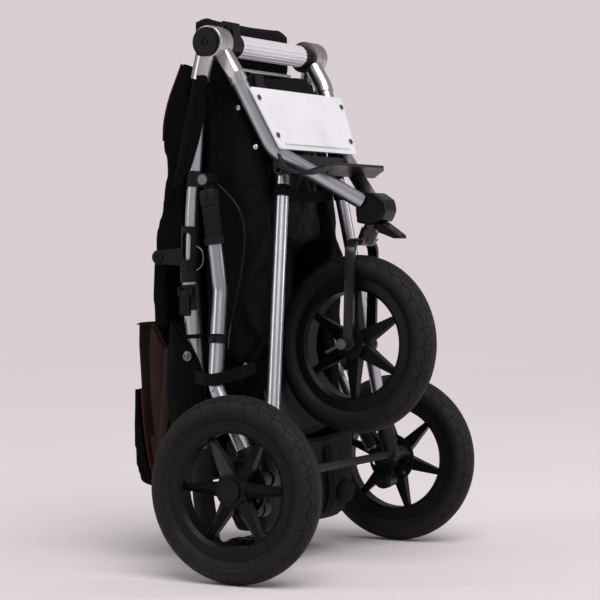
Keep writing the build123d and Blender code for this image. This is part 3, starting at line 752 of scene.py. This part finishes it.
# ---- folded cabin ----
def cabin():
    middle = [(98, 234), (98, 398), (94, 528), (52, 548), (50, 600), (54, 700), (72, 765), (94, 815),
              (106, 829), (154, 829), (154, 234)]
    core = prism("cabin_core", middle, -0.096, 0.096, SATIN)
    swell(core, 0.006)
    crease(core, 0.0055, (16, 16, 7), 3.1)
    crease(core, 0.0045, (30, 30, 14), 8.4, sharp=True)
    pad(core)
    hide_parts("seat_pack")
    side = [(150, 342), (110, 341), (72, 332), (57, 345), (37, 374), (29, 398), (26, 446), (27, 520),
            (36, 580), (44, 640), (56, 700), (74, 762), (94, 815), (106, 828), (154, 829)]
    under = [(152, 230), (96, 230), (42, 238), (31, 262), (30, 320), (38, 372), (120, 392), (152, 392)]
    for name, sign in SIDES:
        panel = prism(f"cabin_side_{name}", side, sign * 0.098, sign * 0.142, PADDED)
        swell(panel, 0.005)
        crease(panel, 0.0040, (9, 9, 4), 5.0 + sign)
        crease(panel, 0.0024, (24, 24, 9), 1.7 + sign, sharp=True)
        furrow(panel, [(120, 790), (121, 700), (122, 638)], 0.0045, 0.0035)
        furrow(panel, [(124, 636), (80, 634), (34, 632)], 0.0045, 0.0035)
        furrow(panel, [(20, 534), (58, 478), (62, 432), (43, 392), (35, 371)], 0.009, -0.010)
        furrow(panel, [(34, 560), (72, 486), (78, 430), (60, 388)], 0.011, 0.009)
        furrow(panel, [(107, 634), (96, 560), (92, 477), (103, 395)], 0.018, 0.004)
        pad(panel)
        lower = prism(f"cabin_cheek_{name}", under, sign * 0.093, sign * 0.134, CLOTH)
        swell(lower, 0.004)
        crease(lower, 0.003, (18, 18, 8), 2.6 + sign)
        pad(lower)
        for tag, line in (("back", [(127, 786), (128, 700), (128, 642)]),
                          ("front", [(113, 786), (114, 700), (115, 642)]),
                          ("waist", [(118, 640), (80, 639), (42, 637)])):
            stitches(f"stitch_{name}_{tag}", beside(sign * 0.1475, line))
        for tag, y, z in (("high", 80, 761), ("low", 47, 696)):
            cap = [(0, 0.0046), (0.0012, 0.0046), (0.0020, 0.0038), (0.0025, 0.0022), (0.0026, 0.0001)]
            place = (sign * 0.1465, y / 1000, z / 1000)
            snap = lathe(f"snap_{name}_{tag}", cap, place, (sign, 0, 0), CAST, 24)
            placed(snap, "handle_frame")
        hem = [(25, 444), (27, 396), (35, 371), (54, 343), (64, 331)]
        facings = [(sign, -0.5, -0.2)] * len(hem)
        binding = ribbon(f"hem_binding_{name}", beside(sign * 0.1465, hem), facings, 0.009, 0.0022, WEBBING)
        placed(binding)
        tip = ribbon(f"strap_tip_{name}", [(sign * 0.152, 0.060, 0.340), (sign * 0.152, 0.074, 0.322)],
                     [(sign, 0, 0)] * 2, 0.009, 0.0045, GREY_PLASTIC, steps=3)
        placed(tip, "handle_frame")
        line = beside(sign * 0.152, ((74, 321), (70, 308), (80, 296), (96, 290), (104, 294)))
        placed(tube_along(f"strap_loop_{name}", line, 0.0018, WEBBING))
    base = prism("cabin_back", [(154, 172), (198, 138), (200, 468), (154, 486)], -0.150, 0.150, CLOTH, 0.007)
    swell(base, 0.005)
    crease(base, 0.003, (14, 14, 6), 6.2)
    pad(base)
    well = draped("cabin_lower_mesh", [
        [(-136, 44, 304), (-90, 30, 306), (-30, 84, 300), (30, 84, 300), (90, 30, 306), (136, 44, 304)],
        [(-138, 30, 270), (-92, 20, 268), (-40, 70, 262), (40, 70, 262), (92, 20, 268), (138, 30, 270)],
        [(-134, 28, 236), (-90, 18, 232), (-40, 40, 222), (40, 40, 222), (90, 18, 232), (134, 28, 236)],
        [(-128, 60, 214), (-80, 52, 208), (-30, 58, 204), (30, 58, 204), (80, 52, 208), (128, 60, 214)],
    ], MESH_CLOTH)
    crease(well, 0.002, (20, 20, 9), 4.4)
    as_sheet(well, 0.0018)
    placed(well, "handle_frame")


def back_panel():
    low, high = PANEL_LOW, PANEL_HIGH
    foot, top = 0.808, high.z + 0.002
    outline = [(low.y + 0.003, foot), (high.y - 0.001, foot), (high.y - 0.001, top), (low.y + 0.003, top)]
    outline = [(1000 * y, 1000 * z) for y, z in outline]
    panel = prism("back_panel", outline, low.x - 0.002, high.x + 0.002, PADDED, 0.005, 3)
    points = points_of(panel.data)
    reach = np.clip((np.abs(points[:, 0]) - (high.x - 0.034)) / 0.030, 0, 1)
    near_top = np.clip((points[:, 2] - (high.z - 0.030)) / 0.030, 0, 1)
    points[:, 2] -= 0.010 * (reach * near_top) ** 1.5
    narrow = np.clip((low.z + 0.004 - points[:, 2]) / 0.030, 0, 1)
    points[:, 0] *= 1 - 0.10 * narrow
    set_points(panel.data, points)
    swell(panel, 0.005)
    crease(panel, 0.0016, (12, 12, 12), 9.3)
    pad(panel)
    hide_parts("seat_panel")
    inset = 0.010
    line = [(low.x + inset, low.z), (low.x + inset, high.z - 0.030), (low.x + 0.030, high.z - inset - 0.004),
            (0, high.z - inset), (high.x - 0.030, high.z - inset - 0.004), (high.x - inset, high.z - 0.030),
            (high.x - inset, low.z)]
    stitches("stitch_panel", [(x, low.y - 0.0022, z) for x, z in line])


# ---- canopy ----
def canopy_cloth():
    outline = [(174, 530), (206, 508), (230, 502), (233, 545), (219, 590), (211, 640), (205, 668), (213, 696),
               (211, 742), (198, 790), (184, 824), (170, 840), (166, 800)]
    hood = prism("canopy_cloth", outline, -0.170, 0.170, CLOTH, 0.006, 2)
    swell(hood, 0.005)
    crease(hood, 0.0045, (9, 16, 5), 7.7)
    crease(hood, 0.0022, (26, 26, 12), 2.2, sharp=True)
    furrow(hood, [(190, 830), (184, 740), (186, 640), (196, 540)], 0.008, 0.005)
    pad(hood, "canopy")
    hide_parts("canopy")
    for name, sign in SIDES:
        edge = [(179, 843), (190, 820), (200, 796), (207, 771), (213, 746), (216, 727), (218, 708)]
        edge = laid_on(hood, beside(sign * 0.176, edge), 0.0008)
        placed(tube_along(f"canopy_piping_{name}", edge, 0.0016, PIPING), "canopy")
        pin = [(0.150, 0.0001), (0.150, 0.012), (0.1825, 0.012), (0.1825, 0.004), (0.1915, 0.004),
               (0.1915, 0.009), (0.1938, 0.009), (0.1948, 0.0075), (0.1950, 0.0050), (0.1935, 0.0042),
               (0.1935, 0.0001)]
        made = lathe(f"canopy_pin_{name}", pin, (0, 0.207, 0.515), (sign, 0, 0), BLACK, 40)
        placed(made, "canopy")
    low_end = [(207, 396), (232, 398), (236, 450), (235, 508), (208, 511)]
    tail = prism("canopy_tail", low_end, -0.163, 0.163, CLOTH, 0.005, 3)
    crease(tail, 0.0022, (12, 12, 6), 1.2)
    pad(tail, "handle_frame")


def shade_wing():
    """The loose edge of the canopy's side cloth, which hangs over each upper handle tube."""
    rows = [(812, 104, 128, 150), (784, 110, 134, 156), (750, 113, 140, 164), (715, 119, 148, 172),
            (680, 131, 158, 178), (650, 146, 168, 182), (628, 160, 172, 180)]
    for name, sign in SIDES:
        grid = []
        for z, front, middle, back in rows:
            wave = 1.5 * math.sin(z * 0.045)
            grid.append([(sign * 199.5, front, z), (sign * (202.5 + wave), (front + middle) / 2, z),
                         (sign * (201 - wave), middle, z), (sign * (190 + wave), (middle + back) / 2, z),
                         (sign * 172, back, z)])
        wing = draped(f"shade_wing_{name}", grid, CLOTH)
        crease(wing, 0.0012, (14, 30, 14), 3.3 + sign)
        as_sheet(wing, 0.0016)
        placed(wing)


# ---- open tubs: the pouch and the basket ----
def rounded_ring(count, x_power, y_power):
    """Points round a rectangle with rounded corners, each between -1 and 1, and how far round each is."""
    ring = []
    for k in range(count):
        t = math.tau * k / count
        c, s = math.cos(t), math.sin(t)
        ring.append((math.copysign(abs(c) ** x_power, c), math.copysign(abs(s) ** y_power, s), t))
    return ring


def open_tub(name, walls, count, bottom, material):
    """A tub of rings of points from its floor to its rim, closed below at one point."""
    faces = grid_faces(len(walls) // count, count, close_columns=True)
    faces += [(len(walls), (k + 1) % count, k) for k in range(count)]
    return new_object(name, [*walls, bottom], faces, material)


def pouch():
    """An open felt shell with an uneven rim, its loose flaps and its piping."""
    half, count = 0.155, 72
    vertices, levels = [], 22
    for level in range(levels + 1):
        f = level / levels
        for u, v, _ in rounded_ring(count, 0.22, 0.45):
            back = 0.250 + 0.028 * min(1, f * 1.15)
            front = 0.207 + 0.003 * f
            y = (back + front) / 2 + v * (back - front) / 2
            dip = min(1, max(0, (y - 0.212) / 0.024))
            rim = 0.361 + 0.043 * dip * dip * (3 - 2 * dip)
            z = 0.128 + (rim - 0.128) * f
            bulge = 0.003 * math.sin(math.pi * f) + 0.0016 * math.sin(9 * u + 7 * f + 2.5 * v)
            x = u * (half + bulge)
            vertices.append((x, y + 0.0015 * math.sin(14 * u + 5 * f), z))
    shell = open_tub("felt_pouch", vertices, count, (0, 0.230, 0.124), FELT)
    shell.data.materials.append(FELT_DARK)
    # Faces beyond y 0.239, the back of the shell, take the darker felt: painted shade for the inside of the pouch.
    for polygon in shell.data.polygons:
        polygon.material_index = 1 if polygon.center.y > 0.239 else 0
    crease(shell, 0.0014, (22, 22, 7), 5.5)
    subdivide(shell)
    thicken(shell, 0.0028)
    placed(shell, "handle_frame")
    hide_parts("storage_pouch")
    for name, sign in SIDES:
        flap = draped(f"felt_flap_{name}", [
            [(sign * 159, 214, 366), (sign * 161, 206, 360), (sign * 162, 198, 359), (sign * 161, 191, 361)],
            [(sign * 160, 216, 310), (sign * 163, 209, 308), (sign * 162, 203, 306), (sign * 160, 198, 306)],
            [(sign * 159, 222, 250), (sign * 162, 216, 248), (sign * 163, 210, 248), (sign * 160, 205, 248)],
            [(sign * 157, 230, 180), (sign * 160, 226, 180), (sign * 161, 222, 180), (sign * 160, 218, 180)],
        ], FELT)
        crease(flap, 0.0016, (24, 24, 8), 6.6 + sign)
        as_sheet(flap, 0.0026)
        placed(flap, "handle_frame")
        edge = [(272, 294), (268, 266), (264, 240), (260, 214), (256, 190), (252, 171), (248, 154)]
        edge = laid_on(shell, beside(sign * 0.168, edge), 0.0022)
        placed(tube_along(f"pouch_piping_{name}", edge, 0.0015, PIPING), "handle_frame")
        rim = beside(sign * 0.1590, ((268, 402), (240, 403), (230, 390), (220, 370), (206, 361), (191, 361)))
        placed(tube_along(f"pouch_rim_{name}", rim, 0.0014, FELT_DARK), "handle_frame")
    rear = [(240, 128), (262, 134), (274, 170), (279, 230), (277, 292), (270, 294), (262, 210), (244, 140)]
    skin = prism("pouch_back", rear, -0.156, 0.156, CLOTH, 0.004, 2)
    crease(skin, 0.0012, (20, 20, 10), 2.9)
    pad(skin, "handle_frame")


# ---- basket ----
def basket_cloth():
    """The goods basket as a sagging cloth tub, with a strap and a round cap low on its front."""
    levels, count = 18, 96
    vertices = []
    for level in range(levels + 1):
        f = level / levels
        full = 0.50 + 0.50 * min(1, f * 2.4) ** 0.6
        front, back = 0.014 + 0.030 * (1 - full), 0.106 - 0.030 * (1 - full)
        for u, v, t in rounded_ring(count, 0.3, 0.35):
            sag = 0.010 * math.sin(math.pi * f) * math.sin(3 * t + 1.1)
            x = u * (0.160 * (0.82 + 0.18 * full) + 0.004 * math.sin(5 * v + 6 * f))
            y = (front + back) / 2 + v * (back - front) / 2 + sag * 0.4
            drop = 0.010 * math.cos(u * math.pi / 2) * f
            vertices.append((x, y, 0.064 + 0.148 * f - drop + 0.004 * math.sin(7 * u) * (1 - f)))
    tub = open_tub("basket_cloth", vertices, count, (0, 0.060, 0.0615), BASKET)
    crease(tub, 0.0024, (22, 22, 14), 3.8)
    crease(tub, 0.0018, (40, 40, 24), 1.1, sharp=True)
    subdivide(tub)
    thicken(tub, 0.0022)
    placed(tub, "rear_frame")
    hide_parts("basket")
    rim = [(0.158, 0.016, 0.211), (0.0, 0.013, 0.203), (-0.158, 0.016, 0.211), (-0.161, 0.060, 0.212),
           (-0.158, 0.104, 0.211), (0.0, 0.105, 0.203), (0.158, 0.104, 0.211), (0.161, 0.060, 0.212)]
    placed(tube_along("basket_rim", rim, 0.0032, WEBBING, closed=True), "rear_frame")
    strap = ribbon("basket_strap", [(0.040, 0.010, 0.190), (0.046, 0.006, 0.140), (0.056, 0.010, 0.100),
                                    (0.060, 0.030, 0.066), (0.058, 0.060, 0.0595)],
                   [(0, -1, 0), (0, -1, 0), (0, -1, -0.3), (0, -0.6, -1), (0, 0, -1)], 0.024, 0.0018, WEBBING)
    placed(strap, "rear_frame")
    knob = [(0, 0.021), (0.004, 0.0215), (0.010, 0.019), (0.0145, 0.012), (0.016, 0.0001)]
    made = lathe("basket_toggle", knob, (0.105, 0.012, 0.108), (-0.25, -1, -0.1), RUBBER, 40)
    placed(made, "rear_frame")


# ---- straps, ties and small metal pieces ----
def on_link(sign, z):
    low, high = Vector((sign * 0.212, -0.018, 0.203)), Vector((sign * 0.100, 0.021, 0.650))
    return low + (high - low) * ((z - low.z) / (high.z - low.z)), (high - low).normalized()


def straps():
    for name, sign in SIDES:
        place, axis = on_link(sign, 0.624)
        band = loop_strap(f"link_strap_{name}", place, axis, 0.0118, 0.019, 0.0016, WEBBING)
        placed(band, f"link_{name}")
        leg = [(172, 146, 322), (204, 128, 321), (232, 100, 319), (238, 78, 318), (222, 60, 322),
               (186, 46, 330), (155, 42, 334)]
        facings = [(sign, 0.6, 0), (sign, 0.6, 0), (sign, 0.4, 0), (sign, 0, 0), (sign, -1, 0), (sign, -1, 0),
                   (sign, -1, 0)]
        leg = in_metres((sign * x, y, z) for x, y, z in leg)
        strap = ribbon(f"leg_strap_{name}", leg, facings, 0.020, 0.0016, WEBBING)
        placed(strap)
        tie = loop_strap(f"sleeve_tie_{name}", (sign * 0.187, 0.1408, 0.385), (0, 0.0675, 0.998), 0.0141, 0.007,
                         0.0014, WEBBING)
        placed(tie)
        tie = loop_strap(f"leg_tie_{name}", (sign * 0.2050, 0.0850, 0.3850), (sign * 0.216, -0.064, -0.974),
                         0.0127, 0.0075, 0.0014, WEBBING)
        placed(tie, "rear_frame")
        head = [(0, 0.0032), (0.0008, 0.0032), (0.0014, 0.0022), (0.0016, 0.0001)]
        rivet = lathe(f"leg_rivet_{name}", head, (sign * 0.2340, 0.0790, 0.3010), (sign, 0, 0), STEEL, 24)
        placed(rivet, "rear_frame")
        wire = beside(sign * 0.2035, ((126, 533), (116, 530), (112, 514), (116, 498), (126, 494)))
        placed(tube_along(f"wire_clip_{name}", wire, 0.0011, DARK_STEEL), "handle_frame")
    between = [(-102, 34, 622), (-60, 40, 618), (0, 44, 616), (60, 40, 618), (102, 34, 622)]
    band = ribbon("link_band", in_metres(between), [(0, -1, 0)] * 5, 0.019, 0.0016, WEBBING)
    placed(band)
    top = [(-128, 84, 806), (-60, 84, 803), (20, 82, 807), (80, 82, 809), (130, 84, 804)]
    band = ribbon("top_strap", in_metres(top), [(0, -1, 0.3)] * 5, 0.024, 0.0018, WEBBING)
    placed(band)
    buckle = ribbon("top_buckle", [(-0.090, 0.080, 0.806), (-0.062, 0.080, 0.805)], [(0, -1, 0.2)] * 2, 0.032,
                    0.008, BLACK, steps=3)
    placed(buckle, "handle_frame")
    rod = [(0, 0.0034), (0.002, 0.0040), (0.178, 0.0040), (0.180, 0.0034)]
    placed(lathe("top_rod", rod, (-0.110, 0.100, 0.826), (1, 0, 0), STEEL, 24), "handle_frame")


def steering():
    """The rounded steering housing and its catch."""
    housing = [(-72, 622), (-108, 622), (-126, 610), (-130, 592), (-122, 575), (-100, 568), (-76, 572)]
    shell = prism("steering_shell", housing, -0.0245, 0.0245, GLOSS, 0.0025, 8)
    placed(shell, "front_frame")
    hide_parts("steering_housing")
    tongue = [(-103, 572), (-120, 573), (-136, 562), (-150, 552), (-152, 546), (-140, 546), (-112, 556)]
    catch = prism("swivel_catch", tongue, -0.0150, 0.0150, GLOSS, 0.002, 5)
    placed(catch, "swivel_lever")
    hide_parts("swivel_lever")


def side_drapes():
    """The black cloth corners that hang outside the lower handle tubes, each held by a bolt."""
    for name, sign in SIDES:
        rows = [[(186, 404), (176, 408), (168, 412)], [(192, 386), (172, 388), (152, 390)],
                [(196, 366), (166, 366), (132, 362)], [(198, 340), (164, 338), (118, 336)],
                [(198, 312), (162, 310), (112, 308)], [(196, 270), (160, 268), (112, 268)],
                [(190, 220), (156, 218), (114, 220)]]
        grid = []
        for k, row in enumerate(rows):
            (back, z0), (middle, z1), (front, z2) = row
            wave = 1.6 * math.sin(2.1 * k + sign)
            grid.append([(sign * 178, back, z0), (sign * (196 + wave), (back + middle) / 2, (z0 + z1) / 2),
                         (sign * (205 + wave), middle, z1),
                         (sign * (205 - wave), (middle + front) / 2, (z1 + z2) / 2), (sign * 200, front, z2)])
        drape = draped(f"side_drape_{name}", grid, CLOTH)
        crease(drape, 0.0020, (22, 22, 10), 4.9 + sign)
        as_sheet(drape, 0.0018)
        placed(drape)
        hem = ((168, 413), (152, 391), (132, 363), (118, 337), (112, 308))
        line = [(sign * (205.5 if y > 140 else 203), y, z) for y, z in hem]
        edge = tube_along(f"drape_edge_{name}", in_metres(line), 0.0017, CLOTH)
        placed(edge)
        bolt = [(0, 0.0080), (0.0015, 0.0082), (0.0022, 0.0070), (0.0024, 0.0046), (0.0050, 0.0044),
                (0.0056, 0.0030), (0.0046, 0.0024), (0.0046, 0.0001)]
        made = lathe(f"drape_bolt_{name}", bolt, (sign * 0.2055, 0.142, 0.353), (sign, 0, 0), DARK_STEEL, 32)
        placed(made, "handle_frame")
        top, bend = Vector((sign * 0.1857, 0.1095, 0.600)), Vector((sign * 0.188, 0.090, 0.461))
        up = (top - bend).normalized()
        cover = [(-0.001, 0.0130), (-0.001, 0.0160), (0.022, 0.0164), (0.0255, 0.0150), (0.0265, 0.0120)]
        made = lathe(f"knuckle_sleeve_{name}", cover, top, up, BLACK, 40)
        placed(made, "rear_frame")


def brake_wire():
    """The brake cable: one smooth bow from the knee down to the leg."""
    route = [(-168.5, 106, 634), (-168.5, 84, 616), (-168.5, 62, 592), (-168.5, 54, 548), (-168.5, 60, 496),
             (-169, 72, 446), (-173, 78, 408), (-186, 76, 384), (-193, 73, 366)]
    wire = tube_along("brake_wire", in_metres(route), 0.0024, GLOSS)
    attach(wire, BODY_OF["brake_cable"])
    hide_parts("brake_cable")
    bare = wire.data.copy()
    bare.bevel_depth = 0
    probe = bpy.data.objects.new("probe", bare)
    line = bpy.data.meshes.new_from_object(probe)
    bpy.data.objects.remove(probe)


camera()
backdrop()
lights()
dress_nodes()
tyres()
cabin()
back_panel()
canopy_cloth()
shade_wing()
pouch()
basket_cloth()
straps()
side_drapes()
steering()
brake_wire()
